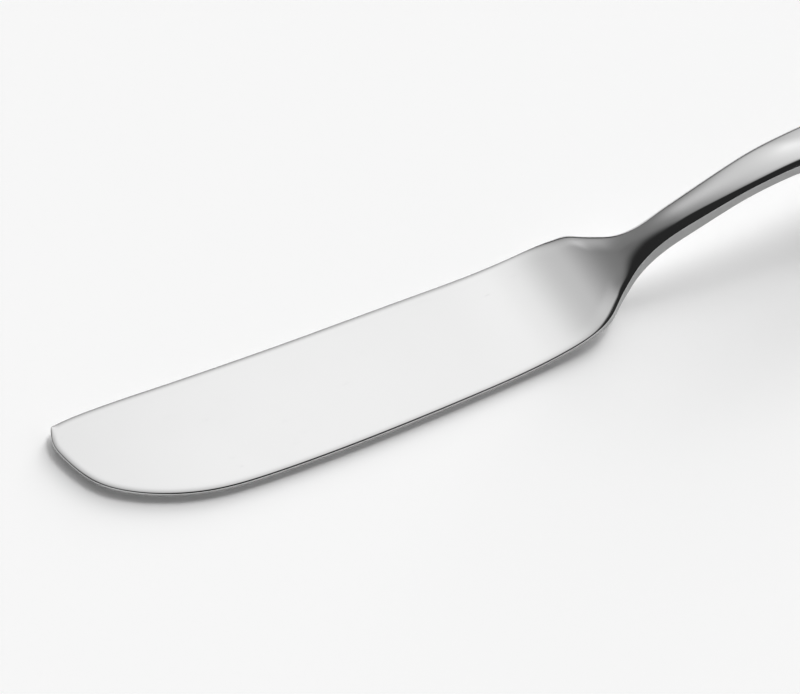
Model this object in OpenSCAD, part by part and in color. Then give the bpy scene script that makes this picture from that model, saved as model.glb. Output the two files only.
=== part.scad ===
/* [Blade] */
// Length from the foremost point of the nose to the plane where the neck starts
blade_len = 84.8; // [76:0.2:96]
// Widest distance across the blade, from the back edge to the belly edge
blade_w = 22.8; // [18:0.2:26]
// Height of the flat wall round the blade's edge
blade_edge = 0.6; // [0.4:0.05:1]
// Height of the foot of that wall above the table
edge_lift = 0.8; // [0.5:0.05:1.2]
// How far the flat upper face falls away at its edges
blade_fall = 0.14; // [0.1:0.01:0.3]
// Width of the bevel under the blade's edge, round the flat sole
under_w = 6; // [5:0.1:7]

/* [Neck] */
// Length of the neck, from the blade to the front of the handle
neck_len = 26; // [23:1:30]
// Width of the narrowest place in the neck
neck_w = 5.3; // [4.4:0.1:6.4]
// Height of the flat wall along the neck's sides
neck_edge = 2.3; // [1.8:0.05:2.8]
// Height that the neck's flanks gain up to its ridge
neck_ridge = 0.8; // [0.5:0.05:1.2]
// Width of each of these two flanks
ridge_w = 2.9; // [2.2:0.1:3.6]
// Depth of the rounded underside below the neck's walls
neck_belly = 0.9; // [0.6:0.05:1.2]

/* [Handle] */
// Length of the handle, from the neck to its round end
handle_len = 100; // [85:1:115]
// Widest place of the handle
handle_w = 18.4; // [14:0.2:21]
// Height of the flat wall along the handle's sides
handle_edge = 1.6; // [1.1:0.05:2.1]
// Height that the upper face gains over its rounded edges
handle_round = 0.45; // [0.3:0.05:0.8]
// Height of the handle's broad crown above its rounded edges
handle_crown = 0.5; // [0.1:0.05:0.8]
// Depth of the rounded underside below the handle's walls
handle_belly = 0.7; // [0.4:0.05:1]
// Length of the round end
end_len = 13; // [9:0.5:17]

/* [Edges] */
// Width of the strip in which an upper face rolls over to its wall
roll_w = 1.2; // [0.9:0.1:2]

/* [Side profile] */
// Slope of the blade's face where it starts to rise to the neck
heel_slope = 0.18; // [0.1:0.01:0.24]
// Steepest slope, in the neck
neck_slope = 0.82; // [0.6:0.01:0.95]
// Slope along the front of the handle
front_slope = 0.36; // [0.28:0.01:0.44]
// Slope that is left at the crest of the arch
crest_slope = 0; // [-0.04:0.01:0.04]

/* [Facets] */
// Longest step between two cross-sections
section_step = 3; // [2.5:0.1:4]

/* [Hidden] */
steel = [0.80, 0.81, 0.82];

overall_len = blade_len + neck_len + handle_len;
blade_half = blade_w/2;
neck_half = neck_w/2;
handle_half = handle_w/2;

// The outline in plan is a list of rulings, each with a point on the back edge and one on the belly edge.
// On the blade they fan out of the tip corner. Shares of the blade's length and of half its width.
blade_ruling_shares = [
    [0.012, 0.950, 0.009, 0.915],
    [0.019, 0.962, 0.003, 0.790],
    [0.029, 0.975, 0.000, 0.640],
    [0.045, 0.988, 0.004, 0.440],
    [0.069, 0.997, 0.016, 0.140],
    [0.103, 1.000, 0.038, -0.180],
    [0.146, 0.997, 0.074, -0.448],
    [0.201, 0.985, 0.124, -0.680],
    [0.268, 0.973, 0.201, -0.892],
    [0.350, 0.963, 0.305, -0.984],
    [0.464, 0.959, 0.444, -1.000],
    [0.613, 0.968, 0.613, -0.967],
    [0.762, 0.973, 0.762, -0.908],
    [0.891, 0.973, 0.891, -0.827],
    [0.945, 0.963, 0.945, -0.759],
    [0.975, 0.936, 0.975, -0.672],
    [1.000, 0.875, 1.000, -0.540]
];
// From the shoulder into the neck: a share of the neck's length, then on each side the share that is left
// of the way from the neck's half width out to the blade's.
shoulder_shares = [
    [0.050, 0.684, 0.280],
    [0.110, 0.477, 0.168],
    [0.190, 0.208, 0.055],
    [0.290, 0.042, 0.004],
    [0.420, 0.000, 0.000]
];
// From the narrowest place to the end of the neck: a share of the neck's length, and the share that is
// gained of the way from the neck's half width to the handle's.
neck_flare_shares = [[0.650, 0.028], [0.870, 0.062], [1.000, 0.090]];
// Along the handle: a share of its length up to the round end, and the share of the same way.
handle_flare_shares = [
    [0.070, 0.128],
    [0.180, 0.250],
    [0.340, 0.460],
    [0.540, 0.710],
    [0.760, 0.920],
    [0.900, 0.990],
    [1.000, 1.000]
];
// Angles at which the round end has a ruling
end_angles = [18, 36, 52, 66, 78, 88.5];

// Where each bend of the side profile starts and stops, as shares of the neck's length past the blade
heel_bend_shares = [-0.92, 0.00];
rise_bend_shares = [-0.13, 0.24];
front_bend_shares = [0.14, 0.55];
crest_bend_shares = [0.69, 1.50];
// The same for the handle's long back arch and for its level end, as shares of the handle's length
back_bend_shares = [0.08, 0.48];
end_bend_shares = [0.72, 0.95];

// Where the cross-section changes, as shares of the neck's length past the blade
wall_in_shares = [-0.31, 0.27];
wall_out_shares = [0.23, 1.10];
ridge_in_shares = [-0.40, 0.15];
ridge_out_shares = [0.44, 1.17];
round_in_shares = [0.18, 0.51];
crown_in_shares = [0.68, 1.33];
belly_out_shares = [0.90, 2.00];

// Places of the points across the upper face, from an edge to the middle: shares of the flank, then of the
// rest. Those of the underside are shares of the bevel.
flank_shares = [0, 0.07, 0.16, 0.29, 0.5];
rest_shares = [0, 0.45];
bevel_shares = [0, 0.3, 0.6, 1];
// A strip takes up at most this share of the width, so that two strips leave room for the middle
strip_limit_share = 0.45;
// How a face falls away in its strip: 1 is a straight bevel, 2 and 3 are rounded
roll_power = 3;
ridge_power = 2;
crown_power = 2;
blade_under_power = 1;
handle_under_power = 2;

function along_neck(share) = blade_len + share*neck_len;
function along_handle(share) = blade_len + neck_len + share*handle_len;

// Goes smoothly from 0 to 1 between two stations given as shares of the neck
function ease(k) = k*k*k*(k*(6*k - 15) + 10);
function blend(x, shares) =
    ease(min(max((x - along_neck(shares[0]))/(along_neck(shares[1]) - along_neck(shares[0])), 0), 1));

// Rulings of the whole outline, in millimetres
function flare_half(share) = neck_half + share*(handle_half - neck_half);
function shoulder_half(share) = neck_half + share*(blade_half - neck_half);
blade_rows = [for (r = blade_ruling_shares)
    [r[0]*blade_len, r[1]*blade_half, r[2]*blade_len, r[3]*blade_half]];
shoulder_rows = [for (r = shoulder_shares)
    [along_neck(r[0]), shoulder_half(r[1]), along_neck(r[0]), -shoulder_half(r[2])]];
neck_rows = [for (r = neck_flare_shares)
    [along_neck(r[0]), flare_half(r[1]), along_neck(r[0]), -flare_half(r[1])]];
straight_len = handle_len - end_len;
handle_rows = [for (r = handle_flare_shares) let (x = blade_len + neck_len + r[0]*straight_len)
    [x, flare_half(r[1]), x, -flare_half(r[1])]];
end_rows = [for (a = end_angles) let (x = overall_len - end_len + end_len*sin(a), y = handle_half*cos(a))
    [x, y, x, -y]];
rows = concat(blade_rows, shoulder_rows, neck_rows, handle_rows, end_rows);
blade_last = len(blade_rows) - 1;
neck_last = blade_last + len(shoulder_rows) + len(neck_rows);
handle_last = len(rows) - 1;

// Natural cubic curve through the rulings: its knots, its spans and its second derivatives
knots = [for (i = 0, t = 0; i < len(rows);
    t = t + (i < handle_last ? norm(rows[i + 1] - rows[i]) : 0), i = i + 1) t];
spans = [for (i = [0:1:handle_last - 1]) knots[i + 1] - knots[i]];
function second_side(i) =
    6*((rows[i + 1] - rows[i])/spans[i] - (rows[i] - rows[i - 1])/spans[i - 1]);
function forward(i, before) = let (pivot = 2*(spans[i - 1] + spans[i]) - spans[i - 1]*before[0])
    [spans[i]/pivot, (second_side(i) - spans[i - 1]*before[1])/pivot];
function sweep_down(i, before) = i > handle_last - 1 ? [] :
    let (now = forward(i, before)) concat([now], sweep_down(i + 1, now));
eliminated = concat([[0, 0*rows[0]]], sweep_down(1, [0, 0*rows[0]]));
function sweep_up(i, after) = i < 1 ? [] :
    let (now = eliminated[i][1] - eliminated[i][0]*after) concat(sweep_up(i - 1, now), [now]);
curls = concat([0*rows[0]], sweep_up(handle_last - 1, 0*rows[0]), [0*rows[0]]);

function ruling(i, t) = let (h = spans[i], a = knots[i + 1] - t, b = t - knots[i])
    (curls[i]*a*a*a + curls[i + 1]*b*b*b)/(6*h)
    + (rows[i]/h - curls[i]*h/6)*a + (rows[i + 1]/h - curls[i + 1]*h/6)*b;
function ruling_rate(i, t) = let (h = spans[i], a = knots[i + 1] - t, b = t - knots[i])
    (curls[i + 1]*b*b - curls[i]*a*a)/(2*h)
    + (rows[i + 1] - rows[i])/h - (curls[i + 1] - curls[i])*h/6;

// Side profile: the height of the upper edge of the wall. Each bend turns the slope smoothly.
function bend_height(x, from, to) = let (q = (x - from)/(to - from))
    (to - from)*(q <= 0 ? 0 : q < 1 ? q*q*q - q*q*q*q/2 : q - 1/2);
bends = [
    [along_neck(heel_bend_shares[0]), along_neck(heel_bend_shares[1]), heel_slope],
    [along_neck(rise_bend_shares[0]), along_neck(rise_bend_shares[1]), neck_slope - heel_slope],
    [along_neck(front_bend_shares[0]), along_neck(front_bend_shares[1]), front_slope - neck_slope],
    [along_neck(crest_bend_shares[0]), along_neck(crest_bend_shares[1]), crest_slope - front_slope]
];
function bent_height(x, i = 0) = i == len(bends) ? 0 :
    bends[i][2]*bend_height(x, bends[i][0], bends[i][1]) + bent_height(x, i + 1);
function handle_bend(x, shares) = bend_height(x, along_handle(shares[0]), along_handle(shares[1]));
function back_height(x) = handle_bend(x, back_bend_shares);
function end_height(x) = handle_bend(x, end_bend_shares);
// The turn of the back arch follows from the others: the end comes down level, onto the table
base_z = edge_lift + blade_edge;
end_z = handle_belly + handle_edge;
back_turn = (end_z - base_z - bent_height(overall_len) + crest_slope*end_height(overall_len))
    /(back_height(overall_len) - end_height(overall_len));
function wall_top(x) =
    base_z + bent_height(x) + back_turn*back_height(x) - (crest_slope + back_turn)*end_height(x);

// Sizes of the cross-section at a station
function wall_height(x) = blade_edge + (neck_edge - blade_edge)*blend(x, wall_in_shares)
    + (handle_edge - neck_edge)*blend(x, wall_out_shares);
function roll_height(x) = blade_fall + (handle_round - blade_fall)*blend(x, round_in_shares);
function ridge_height(x) = neck_ridge*(blend(x, ridge_in_shares) - blend(x, ridge_out_shares));
function crown_height(x) = handle_crown*blend(x, crown_in_shares);
function belly_depth(x) = edge_lift + (neck_belly - edge_lift)*blend(x, wall_in_shares)
    + (handle_belly - neck_belly)*blend(x, belly_out_shares);

// The underside changes from the blade's bevel to the rounded one of the neck and handle
function under_zone(x, half) = under_w + (min(under_w, half) - under_w)*blend(x, wall_in_shares);
function under_power(x) =
    blade_under_power + (handle_under_power - blade_under_power)*blend(x, wall_in_shares);

// Share of the full height that a face has gained at two distances from its edges
function lost(d, w, power) = d >= w ? 0 : pow(1 - d/w, power);
function gained(d1, d2, w, power) = (1 - lost(d1, w, power))*(1 - lost(d2, w, power));

// Places of the points along one cross-section, from the back edge to the belly edge
function upper_places(back_zone, front_zone, width) = concat(
    [for (s = flank_shares) s*back_zone],
    [for (s = rest_shares) back_zone + s*(width/2 - back_zone)],
    [width/2],
    [for (k = [len(rest_shares) - 1:-1:0]) width - front_zone - rest_shares[k]*(width/2 - front_zone)],
    [for (k = [len(flank_shares) - 1:-1:0]) width - flank_shares[k]*front_zone]
);
function under_places(back_zone, front_zone, width) = concat(
    [for (s = bevel_shares) s*back_zone],
    [width/2],
    [for (k = [len(bevel_shares) - 1:-1:0]) width - bevel_shares[k]*front_zone]
);
upper_n = 2*(len(flank_shares) + len(rest_shares)) + 1;
under_n = 2*len(bevel_shares) + 1;

// One cross-section, which stands on a ruling: its upper points, then its lower ones
function squareness(across, rate) = abs(cross(across, rate))/(norm(across)*norm(rate));
function section(i, t) = let (
    at = ruling(i, t),
    rate = ruling_rate(i, t),
    back = [at[0], at[1]],
    front = [at[2], at[3]],
    across = front - back,
    width = norm(across),
    back_square = squareness(across, [rate[0], rate[1]]),
    front_square = squareness(across, [rate[2], rate[3]]),
    limit = strip_limit_share*width,
    half = width*(back_square + front_square)/4,
    bevel = under_zone((at[0] + at[2])/2, half)
) concat(
    [for (s = upper_places(min(ridge_w/back_square, limit), min(ridge_w/front_square, limit), width)) let (
        p = back + across*s/width,
        d1 = s*back_square,
        d2 = (width - s)*front_square
    ) [p[0], p[1], wall_top(p[0]) + roll_height(p[0])*gained(d1, d2, min(roll_w, half), roll_power)
        + ridge_height(p[0])*gained(d1, d2, min(ridge_w, half), ridge_power)
        + crown_height(p[0])*gained(d1, d2, half, crown_power)]],
    [for (s = under_places(min(bevel/back_square, limit), min(bevel/front_square, limit), width)) let (
        p = back + across*s/width,
        d1 = s*back_square,
        d2 = (width - s)*front_square
    ) [p[0], p[1], wall_top(p[0]) - wall_height(p[0])
        - belly_depth(p[0])*gained(d1, d2, bevel, under_power(p[0]))]]
);

// The solid between two rulings of the list
function sections_between(first, last) = concat(
    [for (i = [first:1:last - 1], n = ceil(spans[i]/section_step), k = [0:1:n - 1])
        section(i, knots[i] + k*spans[i]/n)],
    [section(last - 1, knots[last])]
);
module between(first, last) {
    cuts = sections_between(first, last);
    end = len(cuts) - 1;
    function upper(cut, k) = cut*(upper_n + under_n) + k;
    function under(cut, k) = upper(cut, upper_n + k);
    function both(a, b, c, d) = [[a, b, c], [a, c, d]];
    faces = concat(
        [for (c = [0:1:end - 1], k = [0:1:upper_n - 2], f = both(upper(c, k), upper(c + 1, k),
            upper(c + 1, k + 1), upper(c, k + 1))) f],
        [for (c = [0:1:end - 1], k = [0:1:under_n - 2], f = both(under(c, k), under(c, k + 1),
            under(c + 1, k + 1), under(c + 1, k))) f],
        [for (c = [0:1:end - 1], f = both(upper(c, 0), under(c, 0), under(c + 1, 0), upper(c + 1, 0))) f],
        [for (c = [0:1:end - 1], f = both(upper(c, upper_n - 1), upper(c + 1, upper_n - 1),
            under(c + 1, under_n - 1), under(c, under_n - 1))) f],
        [[for (k = [0:1:upper_n - 1]) upper(0, k), for (k = [under_n - 1:-1:0]) under(0, k)]],
        [[for (k = [upper_n - 1:-1:0]) upper(end, k), for (k = [0:1:under_n - 1]) under(end, k)]]
    );
    translate([-overall_len/2, 0, 0])
        polyhedron([for (cut = cuts, p = cut) p], faces, convexity = 6);
}

// Flat blade with a rounded nose, a straight back and a curved belly, rising at the heel
module blade() {
    color(steel) between(0, blade_last);
}

// Steep waist that joins the heel to the arched handle
module neck() {
    color(steel) between(blade_last, neck_last);
}

// Arched handle that widens to a round end lying on the table
module handle() {
    color(steel) between(neck_last, handle_last);
}

blade();
neck();
handle();
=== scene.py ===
"""A one-piece fish knife of polished steel, lying on a pale table."""
import math

import bpy
import numpy as np
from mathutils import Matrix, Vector


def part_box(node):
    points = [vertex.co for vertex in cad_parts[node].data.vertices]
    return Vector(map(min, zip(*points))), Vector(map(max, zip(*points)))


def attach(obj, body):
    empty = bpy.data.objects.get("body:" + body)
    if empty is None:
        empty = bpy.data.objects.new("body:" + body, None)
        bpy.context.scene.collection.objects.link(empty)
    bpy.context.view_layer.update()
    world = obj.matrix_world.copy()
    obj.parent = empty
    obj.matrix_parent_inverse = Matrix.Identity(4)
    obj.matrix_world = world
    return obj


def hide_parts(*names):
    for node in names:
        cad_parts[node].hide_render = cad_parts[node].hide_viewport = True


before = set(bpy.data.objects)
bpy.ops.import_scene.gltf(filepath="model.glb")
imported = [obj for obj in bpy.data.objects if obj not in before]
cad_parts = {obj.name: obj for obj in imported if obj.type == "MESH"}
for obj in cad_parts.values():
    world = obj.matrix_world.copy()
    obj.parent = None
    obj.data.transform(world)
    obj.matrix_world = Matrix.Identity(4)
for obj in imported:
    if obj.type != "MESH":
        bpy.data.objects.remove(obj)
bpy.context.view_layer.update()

MM = 0.001

# Lengths of the three sections, in millimetres. The frame gives the blade's and the neck's, and the
# handle's is a round figure, because its outline ends just short of it.
BLADE_LEN = (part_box("blade")[1].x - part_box("blade")[0].x) / MM
NECK_LEN = (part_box("neck")[1].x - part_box("neck")[0].x) / MM
HANDLE_LEN = 100.0
OVERALL_LEN = BLADE_LEN + NECK_LEN + HANDLE_LEN

# Blade: its width, the height of its side wall and of that wall's foot over the table, the fall of the
# upper face at its edges, and the width of the sloping strip underneath
BLADE_W = 22.8
BLADE_EDGE = 0.6
EDGE_LIFT = 0.8
BLADE_FALL = 0.14
UNDER_W = 6.0

# Neck: its width, its side wall, the height of its ridge, the strip on each side in which the ridge
# rises, and the depth of its underside
NECK_W = 5.3
NECK_EDGE = 2.3
NECK_RIDGE = 0.8
RIDGE_W = 2.9
NECK_BELLY = 0.9

# Handle: its width, its side wall, the fall of the upper face at its edges, the crown over the whole
# width, the depth of its underside, and the length of its round end
HANDLE_W = 18.4
HANDLE_EDGE = 1.6
HANDLE_ROUND = 0.45
HANDLE_CROWN = 0.5
HANDLE_BELLY = 0.7
END_LEN = 13.0

# Slopes of the side profile, from the blade to the crest of the arch
HEEL_SLOPE = 0.18
NECK_SLOPE = 0.82
FRONT_SLOPE = 0.36
CREST_SLOPE = 0.0

# Edges: the strip in which an upper face rolls over, the polished radius of each arris, and the largest
# share of the section's half width that an arris takes
ROLL_W = 1.2
BLADE_ARRIS = 0.25
HANDLE_ARRIS = 0.13
LOWER_ARRIS = 0.12
ARRIS_LIMIT_SHARE = 0.4

# How each form gains its height inwards from the edges: 1 is a straight slope, more is rounder
ROLL_POWER = 3
RIDGE_POWER = 2
CROWN_POWER = 2
BLADE_UNDER_POWER = 1
HANDLE_UNDER_POWER = 2

# Keeps the smooth surface within the box of the plainer solids
INSIDE_SHARE = 0.9999

# Fineness of the mesh, and of the search for the tilt of a face where its arris ends
STATION_STEP = 0.6
ARRIS_STEPS = 6
FACE_STEPS = 46
FACE_CROWDING = 0.8
TILT_ROUNDS = 8
TILT_PROBE_PARTS = 50

# Rulings of the outline: a point on the back edge and one on the belly edge, as shares of the blade's
# length and of half its width
BLADE_RULING_SHARES = [
    [0.012, 0.950, 0.009, 0.915],
    [0.019, 0.962, 0.003, 0.790],
    [0.029, 0.975, 0.000, 0.640],
    [0.045, 0.988, 0.004, 0.440],
    [0.069, 0.997, 0.016, 0.140],
    [0.103, 1.000, 0.038, -0.180],
    [0.146, 0.997, 0.074, -0.448],
    [0.201, 0.985, 0.124, -0.680],
    [0.268, 0.973, 0.201, -0.892],
    [0.350, 0.963, 0.305, -0.984],
    [0.464, 0.959, 0.444, -1.000],
    [0.613, 0.968, 0.613, -0.967],
    [0.762, 0.973, 0.762, -0.908],
    [0.891, 0.973, 0.891, -0.827],
    [0.945, 0.963, 0.945, -0.759],
    [0.975, 0.936, 0.975, -0.672],
    [1.000, 0.875, 1.000, -0.540],
]
# A share of the neck's length, then on each side the share left of the way out to the blade
SHOULDER_SHARES = [
    [0.050, 0.684, 0.280],
    [0.110, 0.477, 0.168],
    [0.190, 0.208, 0.055],
    [0.290, 0.042, 0.004],
    [0.420, 0.000, 0.000],
]
# A share of the neck's length or of the handle's straight length, then the share gained of the way
# out to the handle's width
NECK_FLARE_SHARES = [[0.650, 0.028], [0.870, 0.062], [1.000, 0.090]]
HANDLE_FLARE_SHARES = [
    [0.070, 0.128],
    [0.180, 0.250],
    [0.340, 0.460],
    [0.540, 0.710],
    [0.760, 0.920],
    [0.900, 0.990],
    [1.000, 1.000],
]
# Degrees round the elliptical end of the handle
END_ANGLES = [18, 36, 52, 66, 78, 88.5]

# Where the side profile bends and the cross-section changes: start and end, as shares of the neck's
# length past the blade
HEEL_BEND_SHARES = (-0.92, 0.00)
RISE_BEND_SHARES = (-0.13, 0.24)
FRONT_BEND_SHARES = (0.14, 0.55)
CREST_BEND_SHARES = (0.69, 1.50)
WALL_IN_SHARES = (-0.31, 0.27)
WALL_OUT_SHARES = (0.23, 1.10)
RIDGE_IN_SHARES = (-0.40, 0.15)
RIDGE_OUT_SHARES = (0.44, 1.17)
ROUND_IN_SHARES = (0.18, 0.51)
CROWN_IN_SHARES = (0.68, 1.33)
BELLY_OUT_SHARES = (0.90, 2.00)
# As shares of the handle's length
BACK_BEND_SHARES = (0.08, 0.48)
END_BEND_SHARES = (0.72, 0.95)


def along_neck(share):
    return BLADE_LEN + share * NECK_LEN


def along_handle(share):
    return BLADE_LEN + NECK_LEN + share * HANDLE_LEN


def blend(x, shares):
    """Goes smoothly from 0 to 1 between two stations of the neck."""
    start, end = along_neck(shares[0]), along_neck(shares[1])
    k = np.clip((x - start) / (end - start), 0, 1)
    return k * k * k * (k * (6 * k - 15) + 10)


def outline_rows():
    """Every ruling of the outline: x and y on the back edge, x and y on the belly edge."""
    blade_half, neck_half, handle_half = BLADE_W / 2, NECK_W / 2, HANDLE_W / 2
    rows = []
    for back_x, back_y, belly_x, belly_y in BLADE_RULING_SHARES:
        back = [back_x * BLADE_LEN, back_y * blade_half]
        belly = [belly_x * BLADE_LEN, belly_y * blade_half]
        rows.append(back + belly)
    for place, back_share, belly_share in SHOULDER_SHARES:
        x = along_neck(place)
        spare = blade_half - neck_half
        rows.append([x, neck_half + back_share * spare, x, -neck_half - belly_share * spare])
    straight_len = HANDLE_LEN - END_LEN
    flares = [(along_neck(place), gain) for place, gain in NECK_FLARE_SHARES]
    for place, gain in HANDLE_FLARE_SHARES:
        flares.append((along_handle(0) + place * straight_len, gain))
    for x, gain in flares:
        y = neck_half + gain * (handle_half - neck_half)
        rows.append([x, y, x, -y])
    for angle in np.radians(END_ANGLES):
        x = OVERALL_LEN - END_LEN + END_LEN * math.sin(angle)
        y = handle_half * math.cos(angle)
        rows.append([x, y, x, -y])
    return np.array(rows)


def smooth_rulings(rows, step):
    """Dense rulings on the natural cubic curve through the rows, their rates, and each row's number."""
    spans = np.linalg.norm(np.diff(rows, axis=0), axis=1)
    count = len(rows)
    system = np.eye(count)
    turn = np.zeros_like(rows)
    for i in range(1, count - 1):
        system[i, i - 1:i + 2] = spans[i - 1], 2 * (spans[i - 1] + spans[i]), spans[i]
        turn[i] = 6 * ((rows[i + 1] - rows[i]) / spans[i] - (rows[i] - rows[i - 1]) / spans[i - 1])
    curls = np.linalg.solve(system, turn)
    points, rates, starts = [], [], []
    for i, span in enumerate(spans):
        steps = math.ceil(span / step)
        last = i == count - 2
        starts.append(len(points))
        for k in range(steps + last):
            b = span * k / steps
            a = span - b
            points.append(
                (curls[i] * a**3 + curls[i + 1] * b**3) / (6 * span)
                + (rows[i] / span - curls[i] * span / 6) * a
                + (rows[i + 1] / span - curls[i + 1] * span / 6) * b
            )
            rates.append(
                (curls[i + 1] * b * b - curls[i] * a * a) / (2 * span)
                + (rows[i + 1] - rows[i]) / span
                - (curls[i + 1] - curls[i]) * span / 6
            )
    starts.append(len(points) - 1)
    return np.array(points), np.array(rates), starts


def bend_height(x, start, end):
    """Height gained where the slope turns smoothly from 0 to 1 between start and end."""
    q = (x - start) / (end - start)
    turning = q**3 - q**4 / 2
    return (end - start) * np.where(q <= 0, 0, np.where(q < 1, turning, q - 0.5))


def neck_heights(x):
    """Height that the side profile gains from the heel to the crest of the arch."""
    slopes = (HEEL_SLOPE, NECK_SLOPE, FRONT_SLOPE, CREST_SLOPE)
    places = (HEEL_BEND_SHARES, RISE_BEND_SHARES, FRONT_BEND_SHARES, CREST_BEND_SHARES)
    height = 0
    before = 0
    for slope, (start, end) in zip(slopes, places):
        height = height + (slope - before) * bend_height(x, along_neck(start), along_neck(end))
        before = slope
    return height


def wall_top(x):
    """Height of the side wall's upper edge. The back arch brings the end down level onto the table."""
    def back(x):
        return bend_height(x, along_handle(BACK_BEND_SHARES[0]), along_handle(BACK_BEND_SHARES[1]))

    def end(x):
        return bend_height(x, along_handle(END_BEND_SHARES[0]), along_handle(END_BEND_SHARES[1]))

    base_z = EDGE_LIFT + BLADE_EDGE
    end_z = HANDLE_BELLY + HANDLE_EDGE
    missing = end_z - base_z - neck_heights(OVERALL_LEN) + CREST_SLOPE * end(OVERALL_LEN)
    turn = missing / (back(OVERALL_LEN) - end(OVERALL_LEN))
    return base_z + neck_heights(x) + turn * back(x) - (CREST_SLOPE + turn) * end(x)


def wall_height(x):
    return (
        BLADE_EDGE
        + (NECK_EDGE - BLADE_EDGE) * blend(x, WALL_IN_SHARES)
        + (HANDLE_EDGE - NECK_EDGE) * blend(x, WALL_OUT_SHARES)
    )


def roll_height(x):
    return BLADE_FALL + (HANDLE_ROUND - BLADE_FALL) * blend(x, ROUND_IN_SHARES)


def ridge_height(x):
    return NECK_RIDGE * (blend(x, RIDGE_IN_SHARES) - blend(x, RIDGE_OUT_SHARES))


def crown_height(x):
    return HANDLE_CROWN * blend(x, CROWN_IN_SHARES)


def belly_depth(x):
    return (
        EDGE_LIFT
        + (NECK_BELLY - EDGE_LIFT) * blend(x, WALL_IN_SHARES)
        + (HANDLE_BELLY - NECK_BELLY) * blend(x, BELLY_OUT_SHARES)
    )


def gained(distances, width, power):
    """Share of the full height that a face has gained at its distances from both edges."""
    from_back, from_belly = [1 - np.clip(1 - d / width, 0, 1) ** power for d in distances]
    return from_back * from_belly


class Sections:
    """The cross-sections on all dense rulings at once.

    A place s on a ruling runs from the back edge (side 0) to the belly edge (side 1).
    """

    def __init__(self, rulings, rates):
        back_rates, belly_rates = rates[:, None, 0:2], rates[:, None, 2:4]
        self.back = rulings[:, None, 0:2]
        self.across = rulings[:, None, 2:4] - self.back
        self.width = np.linalg.norm(self.across, axis=2)
        self.square = [self.squareness(back_rates), self.squareness(belly_rates)]
        self.half = self.width * (self.square[0] + self.square[1]) / 4
        self.middle_x = (rulings[:, 0:1] + rulings[:, 2:3]) / 2
        rounded = blend(self.middle_x, WALL_IN_SHARES)
        self.bevel = UNDER_W + (np.minimum(UNDER_W, self.half) - UNDER_W) * rounded

    def squareness(self, rate):
        """Sine of the angle between the ruling and its edge: 1 where they meet squarely."""
        turned = self.across[..., 0] * rate[..., 1] - self.across[..., 1] * rate[..., 0]
        return np.abs(turned) / (self.width * np.linalg.norm(rate, axis=2))

    def plan(self, s):
        return self.back + self.across * (s / self.width)[..., None]

    def heights(self, s, upper):
        """Heights of the upper or the lower face at the places s."""
        x = self.plan(s)[..., 0]
        distances = (s * self.square[0], (self.width - s) * self.square[1])
        if upper:
            roll = roll_height(x) * gained(distances, np.minimum(ROLL_W, self.half), ROLL_POWER)
            ridge = ridge_height(x) * gained(distances, np.minimum(RIDGE_W, self.half), RIDGE_POWER)
            crown = crown_height(x) * gained(distances, self.half, CROWN_POWER)
            return wall_top(x) + roll + ridge + crown
        roundness = blend(x, WALL_IN_SHARES)
        power = BLADE_UNDER_POWER + (HANDLE_UNDER_POWER - BLADE_UNDER_POWER) * roundness
        return wall_top(x) - wall_height(x) - belly_depth(x) * gained(distances, self.bevel, power)

    def place(self, side, q):
        """Place s at distance q from the back edge (side 0) or from the belly edge (side 1)."""
        s = q / self.square[side]
        return s if side == 0 else self.width - s

    def arris(self, side, upper):
        """Places and heights of the rounded arris, from the wall to the face."""
        sign = 1 if upper else -1
        wanted = LOWER_ARRIS
        if upper:
            to_handle = blend(self.middle_x, WALL_IN_SHARES)
            wanted = BLADE_ARRIS + (HANDLE_ARRIS - BLADE_ARRIS) * to_handle
        radius = np.minimum(wanted, ARRIS_LIMIT_SHARE * self.half)
        probe = radius / TILT_PROBE_PARTS
        tilt = np.zeros_like(radius)
        for _ in range(TILT_ROUNDS):
            q = radius * (1 - np.sin(tilt))
            near = self.heights(self.place(side, q), upper)
            far = self.heights(self.place(side, q + probe), upper)
            tilt = np.arctan(np.maximum(sign * (far - near) / probe, 0))
        q = radius * (1 - np.sin(tilt))
        centre = self.heights(self.place(side, q), upper) - sign * radius * np.cos(tilt)
        angle = (math.pi / 2 - tilt) * np.linspace(0, 1, ARRIS_STEPS + 1)
        places = self.place(side, radius * (1 - np.cos(angle)))
        return places, centre + sign * radius * np.sin(angle)

    def face(self, upper):
        """Points from the back wall over the whole face to the belly wall, one row per ruling."""
        back_s, back_z = self.arris(0, upper)
        belly_s, belly_z = self.arris(1, upper)
        u = np.linspace(0, 1, FACE_STEPS + 1)[1:-1]
        u = u - FACE_CROWDING * np.sin(2 * math.pi * u) / (2 * math.pi)
        first, last = back_s[:, -1:], belly_s[:, -1:]
        s = first + (last - first) * u
        s = np.concatenate([back_s, s, belly_s[:, ::-1]], axis=1)
        inner_z = self.heights(s, upper)[:, ARRIS_STEPS + 1:-ARRIS_STEPS - 1]
        z = np.concatenate([back_z, inner_z, belly_z[:, ::-1]], axis=1)
        return np.concatenate([self.plan(s), z[..., None]], axis=2)


def slopes_along(points, axis):
    """Derivative by chord length, accurate to second order where the steps are uneven."""
    p = np.moveaxis(points, axis, 0)
    step = np.linalg.norm(np.diff(p, axis=0), axis=2)[..., None]
    chord = np.diff(p, axis=0) / step
    before, after = step[:-1], step[1:]
    slope = np.empty_like(p)
    slope[1:-1] = (after * chord[:-1] + before * chord[1:]) / (before + after)
    slope[0] = 2 * chord[0] - slope[1]
    slope[-1] = 2 * chord[-1] - slope[-2]
    return np.moveaxis(slope, 0, axis)


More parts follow.
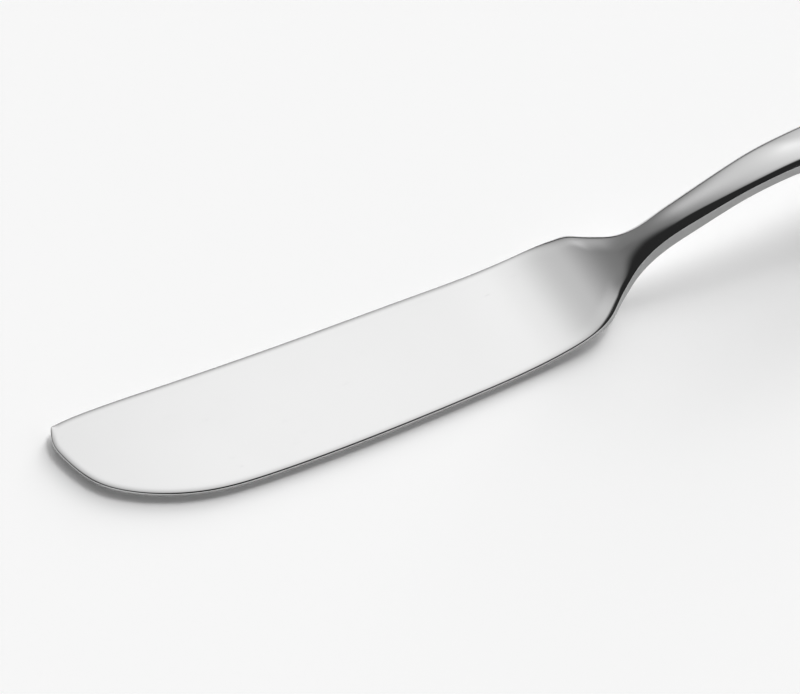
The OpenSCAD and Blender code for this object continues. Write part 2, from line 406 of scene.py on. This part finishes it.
def surface_normals(points, outward_z):
    """Smooth normals of a whole face, upwards for outward_z 1 and downwards for -1."""
    normals = np.cross(slopes_along(points, 0), slopes_along(points, 1))
    normals /= np.linalg.norm(normals, axis=2)[..., None]
    middle = normals[:, normals.shape[1] // 2, 2].mean()
    return normals * (outward_z if middle > 0 else -outward_z)


# Places of a piece's two materials in its list
POLISHED, SATIN = 0, 1


def piece_faces(stations, across):
    """Corners of the smooth faces, the material of each, and corners of the two flat ends' faces.

    Every station has one ring of points: those of the upper face, then those of the lower face.
    """
    ring = 2 * across
    last = across - 1
    smooth, kinds, ends = [], [], []

    def at(c, k, low=False):
        return c * ring + k + (across if low else 0)

    for c in range(stations - 1):
        for k in range(last):
            smooth.append((at(c, k), at(c, k + 1), at(c + 1, k + 1), at(c + 1, k)))
            under = (at(c, k, True), at(c + 1, k, True), at(c + 1, k + 1, True), at(c, k + 1, True))
            smooth.append(under)
            kinds += [POLISHED, POLISHED]
        smooth.append((at(c, 0), at(c + 1, 0), at(c + 1, 0, True), at(c, 0, True)))
        smooth.append((at(c, last), at(c, last, True), at(c + 1, last, True), at(c + 1, last)))
        kinds += [SATIN, SATIN]
    for c in (0, stations - 1):
        for k in range(last):
            face = (at(c, k), at(c, k, True), at(c, k + 1, True), at(c, k + 1))
            ends.append(face if c == 0 else face[::-1])
    return smooth, kinds, ends


def end_normals(points, across):
    """Outward normals of a piece's two flat ends."""
    normals = []
    for end, next_one in ((0, 1), (-1, -2)):
        row = points[end]
        normal = np.cross(row[across // 2] - row[0], row[across + across // 2] - row[0])
        normal /= np.linalg.norm(normal)
        inwards = points[next_one, 0] - points[end, 0]
        normals.append(normal if normal @ inwards < 0 else -normal)
    return normals


def knife_piece(name, upper, under, upper_normals, under_normals, materials):
    """One closed solid between two stations, with the smooth normals of the whole knife."""
    stations, across = upper.shape[0:2]
    points = np.concatenate([upper, under], axis=1)
    normals = np.concatenate([upper_normals, under_normals], axis=1)
    smooth, kinds, ends = piece_faces(stations, across)
    mesh = bpy.data.meshes.new(name)
    mesh.from_pydata((points.reshape(-1, 3) * MM).tolist(), [], smooth + ends)
    for material in materials:
        mesh.materials.append(material)
    mesh.polygons.foreach_set("material_index", kinds + [POLISHED] * len(ends))
    mesh.polygons.foreach_set("use_smooth", [True] * len(smooth) + [False] * len(ends))
    smooth_corners = normals.reshape(-1, 3)[np.array(smooth).ravel()]
    corners_per_end = 4 * (across - 1)
    end_corners = np.repeat(np.array(end_normals(points, across)), corners_per_end, axis=0)
    mesh.normals_split_custom_set(np.concatenate([smooth_corners, end_corners]).tolist())
    mesh.update()
    piece = bpy.data.objects.new(name, mesh)
    bpy.context.scene.collection.objects.link(piece)
    return piece


def unit(azimuth, elevation):
    """Direction at an azimuth from +Y towards +X and an elevation, in degrees."""
    a, e = math.radians(azimuth), math.radians(elevation)
    return (math.sin(a) * math.cos(e), math.cos(a) * math.cos(e), math.sin(e))


class Nodes:
    """Short calls for a node tree."""

    def __init__(self, tree):
        self.tree = tree
        tree.nodes.clear()

    def add(self, kind, inputs=None, **settings):
        """A new node with its settings. An input is a value or another node's output."""
        node = self.tree.nodes.new(kind)
        for key, value in settings.items():
            setattr(node, key, value)
        for key, value in (inputs or {}).items():
            if isinstance(value, bpy.types.NodeSocket):
                self.tree.links.new(value, node.inputs[key])
            else:
                node.inputs[key].default_value = value
        return node

    def math(self, operation, a, b):
        return self.add("ShaderNodeMath", {0: a, 1: b}, operation=operation).outputs[0]

    def smooth(self, value, low, high, out_low, out_high):
        """Goes smoothly from out_low to out_high while the value goes from low to high."""
        inputs = {"Value": value, "From Min": low, "From Max": high,
                  "To Min": out_low, "To Max": out_high}
        node = self.add("ShaderNodeMapRange", inputs, interpolation_type="SMOOTHSTEP")
        return node.outputs["Result"]

    def noise(self, vector, scale, detail):
        inputs = {"Vector": vector, "Scale": scale, "Detail": detail}
        return self.add("ShaderNodeTexNoise", inputs).outputs["Fac"]

    def mapped(self, vector, angle, scale):
        """The vector scaled and then turned about the vertical, in radians.

        The stretch stays along the axes. The turn only picks another part of an even pattern.
        """
        inputs = {"Vector": vector, "Rotation": (0.0, 0.0, angle), "Scale": scale}
        return self.add("ShaderNodeMapping", inputs).outputs["Vector"]

    def disc(self, way, azimuth, elevation, radius, softness, strength):
        """A soft disc round a direction: its strength inside, falling to zero at its border."""
        inputs = {0: way, 1: unit(azimuth, elevation)}
        cosine = self.add("ShaderNodeVectorMath", inputs, operation="DOT_PRODUCT").outputs["Value"]
        angle = self.math("ARCCOSINE", cosine, 0.0)
        inner, outer = math.radians(radius - softness), math.radians(radius + softness)
        return self.smooth(angle, inner, outer, strength, 0.0)


# Faint smudges on the steel: a noise whose values between these two make it rougher
SMUDGE_SCALE = 90.0
SMUDGE_DETAIL = 4.0
SMUDGE_SPAN = (0.35, 0.7)
# Layers of fine wiping scratches along the knife. Each has the turn that picks its part of the noise,
# the narrowness of the scratches for their length, and its share of the depth.
WIPING = [
    (0.0, 60.0, 0.5),
    (0.35, 45.0, 0.35),
    (-0.6, 35.0, 0.3),
]
WIPING_SCALE = 160.0
WIPING_DETAIL = 3.0
# Layers of single marks, one mark to each cell of a pattern: the turn that picks its part, cells per
# metre along and across the knife, size as a share of a cell, depth in mm. The first layer is tiny pits,
# the others are short hairline scratches along the knife.
MARKS = [
    (0.0, (150.0, 150.0, 1.0), 0.022, 0.008),
    (0.5, (40.0, 260.0, 1.0), 0.034, 0.007),
    (-0.4, (34.0, 300.0, 1.0), 0.040, 0.006),
    (1.1, (50.0, 240.0, 1.0), 0.030, 0.007),
]


def wiping_scratches(nodes, place, depth):
    """Height in mm of the wiping scratches."""
    height = None
    for angle, narrowness, share in WIPING:
        stretched = nodes.mapped(place, angle, (1.0, narrowness, narrowness))
        lines = nodes.noise(stretched, WIPING_SCALE, WIPING_DETAIL)
        layer = nodes.math("MULTIPLY", lines, share * depth)
        height = layer if height is None else nodes.math("ADD", height, layer)
    return height


def single_marks(nodes, place, height):
    """The height with the single marks sunk in. Each cell's chance sets its mark's size and depth."""
    for angle, cells, size, depth in MARKS:
        inputs = {"Vector": nodes.mapped(place, angle, cells), "Scale": 1.0}
        spots = nodes.add("ShaderNodeTexVoronoi", inputs, voronoi_dimensions="2D")
        chance = nodes.add("ShaderNodeSeparateXYZ", {"Vector": spots.outputs["Color"]}).outputs["X"]
        reach = nodes.math("MULTIPLY", chance, size)
        mark = nodes.smooth(spots.outputs["Distance"], 0.0, reach, -depth, 0.0)
        height = nodes.math("ADD", height, nodes.math("MULTIPLY", mark, chance))
    return height


def steel(name, grey, roughness, rough_spread, scratch_depth):
    """Steel with faint smudges, fine wiping scratches and a few single marks."""
    material = bpy.data.materials.new(name)
    material.use_nodes = True
    nodes = Nodes(material.node_tree)
    place = nodes.add("ShaderNodeTexCoord").outputs["Object"]
    smudge = nodes.noise(place, SMUDGE_SCALE, SMUDGE_DETAIL)
    rough = nodes.smooth(smudge, SMUDGE_SPAN[0], SMUDGE_SPAN[1], roughness, roughness + rough_spread)
    height = single_marks(nodes, place, wiping_scratches(nodes, place, scratch_depth))
    bump = nodes.add("ShaderNodeBump", {"Height": height, "Strength": 1.0, "Distance": MM})
    shader = nodes.add("ShaderNodeBsdfPrincipled", {
        "Base Color": (grey, grey, grey, 1.0),
        "Metallic": 1.0,
        "Roughness": rough,
        "Normal": bump.outputs["Normal"],
    })
    nodes.add("ShaderNodeOutputMaterial", {"Surface": shader.outputs["BSDF"]})
    return material


def make_knife():
    """The three pieces, cut from one smooth surface so that no line shows where they meet."""
    polished = steel("polished_steel", grey=0.6, roughness=0.07, rough_spread=0.03,
                     scratch_depth=0.0003)
    satin = steel("satin_steel", grey=0.55, roughness=0.7, rough_spread=0.1, scratch_depth=0.002)
    rulings, rates, starts = smooth_rulings(outline_rows(), STATION_STEP)
    sections = Sections(rulings, rates)
    shift = np.array([OVERALL_LEN / 2, 0, 0])
    shares = np.array([1, INSIDE_SHARE, INSIDE_SHARE])
    upper = (sections.face(True) - shift) * shares
    under = (sections.face(False) - shift) * shares
    upper_normals = surface_normals(upper, 1)
    under_normals = surface_normals(under, -1)
    blade_rows = len(BLADE_RULING_SHARES)
    neck_rows = len(SHOULDER_SHARES) + len(NECK_FLARE_SHARES)
    blade_end = starts[blade_rows - 1]
    neck_end = starts[blade_rows + neck_rows - 1]
    handle_end = len(rulings) - 1
    cuts = {"blade": (0, blade_end), "neck": (blade_end, neck_end), "handle": (neck_end, handle_end)}
    for node, (first, last) in cuts.items():
        part = slice(first, last + 1)
        piece = knife_piece(node + "_polished", upper[part], under[part], upper_normals[part],
                            under_normals[part], [polished, satin])
        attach(piece, "root")
        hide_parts(node)


# The table in metres: half its side, and how far it lies below the knife's sole. Then its grey, and the
# light that it gives off to the camera and the steel's mirror, in place of what a room scatters back.
TABLE_HALF = 20.0
TABLE_DROP = 0.00002
TABLE_GREY = 0.93
TABLE_GLOW = 0.07


def make_floor():
    mesh = bpy.data.meshes.new("table")
    corners = [(-TABLE_HALF, -TABLE_HALF), (TABLE_HALF, -TABLE_HALF),
               (TABLE_HALF, TABLE_HALF), (-TABLE_HALF, TABLE_HALF)]
    mesh.from_pydata([(x, y, -TABLE_DROP) for x, y in corners], [], [(0, 1, 2, 3)])
    floor = bpy.data.objects.new("table", mesh)
    bpy.context.scene.collection.objects.link(floor)
    material = bpy.data.materials.new("pale_table")
    material.use_nodes = True
    nodes = Nodes(material.node_tree)
    diffuse = nodes.add("ShaderNodeBsdfDiffuse", {"Color": (TABLE_GREY, TABLE_GREY, TABLE_GREY, 1.0)})
    path = nodes.add("ShaderNodeLightPath")
    seen = nodes.math("MAXIMUM", path.outputs["Is Camera Ray"], path.outputs["Is Glossy Ray"])
    seen = nodes.math("MAXIMUM", seen, path.outputs["Is Transmission Ray"])
    glow = nodes.add("ShaderNodeEmission", {"Strength": nodes.math("MULTIPLY", seen, TABLE_GLOW)})
    inputs = {0: diffuse.outputs["BSDF"], 1: glow.outputs["Emission"]}
    shader = nodes.add("ShaderNodeAddShader", inputs).outputs["Shader"]
    nodes.add("ShaderNodeOutputMaterial", {"Surface": shader})
    mesh.materials.append(material)


# The studio's soft discs of light: azimuth, elevation, radius and softness in degrees, then strength
SOFTBOXES = [
    (21, 50, 13, 36, 1.34),
    (19, 47, 53, 8, 0.25),
    (99, 49, 33, 34, 0.67),
    (62, 0, 44, 22, 0.83),
    (54, 14, 9, 3, 17.0),
    (54, 26, 9, 3, 14.5),
    (57, 43, 9, 3, 5.6),
    (70, 54, 8, 3, 8.0),
    (88, 55, 11, 5, 6.3),
    (-125, 8, 26, 8, 0.5),
    (-62, 0, 22, 8, 0.4),
    (128, 10, 24, 10, 0.5),
]
# Its dark flags, with the share of light that each holds back. The first is the dark corner round the
# camera, and the last one dims the horizon behind the knife.
DARK_FLAGS = [
    (-172, 55, 31, 5, 1.0),
    (128, 55, 24, 8, 1.0),
    (15, -8, 22, 6, 1.0),
    (45, 5, 41, 6, 0.22),
]
ROOM_LEVEL = 0.03


def make_studio():
    world = bpy.data.worlds.new("studio")
    bpy.context.scene.world = world
    world.use_nodes = True
    nodes = Nodes(world.node_tree)
    way = nodes.add("ShaderNodeTexCoord").outputs["Generated"]
    light = 0.0
    for softbox in SOFTBOXES:
        light = nodes.math("ADD", light, nodes.disc(way, *softbox))
    for flag in DARK_FLAGS:
        light = nodes.math("MULTIPLY", light, nodes.math("SUBTRACT", 1.0, nodes.disc(way, *flag)))
    total = nodes.math("ADD", light, ROOM_LEVEL)
    inputs = {"Color": (1.0, 1.0, 1.0, 1.0), "Strength": total}
    background = nodes.add("ShaderNodeBackground", inputs).outputs["Background"]
    nodes.add("ShaderNodeOutputWorld", {"Surface": background})


# The photograph's view: where the camera stands, in degrees and metres from what it looks at, and its
# sensor and lens in millimetres
CAMERA_AZIMUTH = -153.9
CAMERA_ELEVATION = 48.0
CAMERA_DISTANCE = 0.45
CAMERA_TARGET = (-0.05233, 0.00258, 0.00145)
SENSOR_WIDTH = 36.0
LENS = 137.0


def make_camera():
    back = Vector(unit(CAMERA_AZIMUTH, CAMERA_ELEVATION))
    data = bpy.data.cameras.new("camera")
    data.sensor_width = SENSOR_WIDTH
    data.lens = LENS
    camera = bpy.data.objects.new("camera", data)
    camera.location = Vector(CAMERA_TARGET) + back * CAMERA_DISTANCE
    camera.rotation_euler = (-back).to_track_quat("-Z", "Y").to_euler()
    bpy.context.scene.collection.objects.link(camera)
    bpy.context.scene.camera = camera


make_camera()
make_knife()
make_floor()
make_studio()
bpy.context.scene.view_settings.view_transform = "Standard"
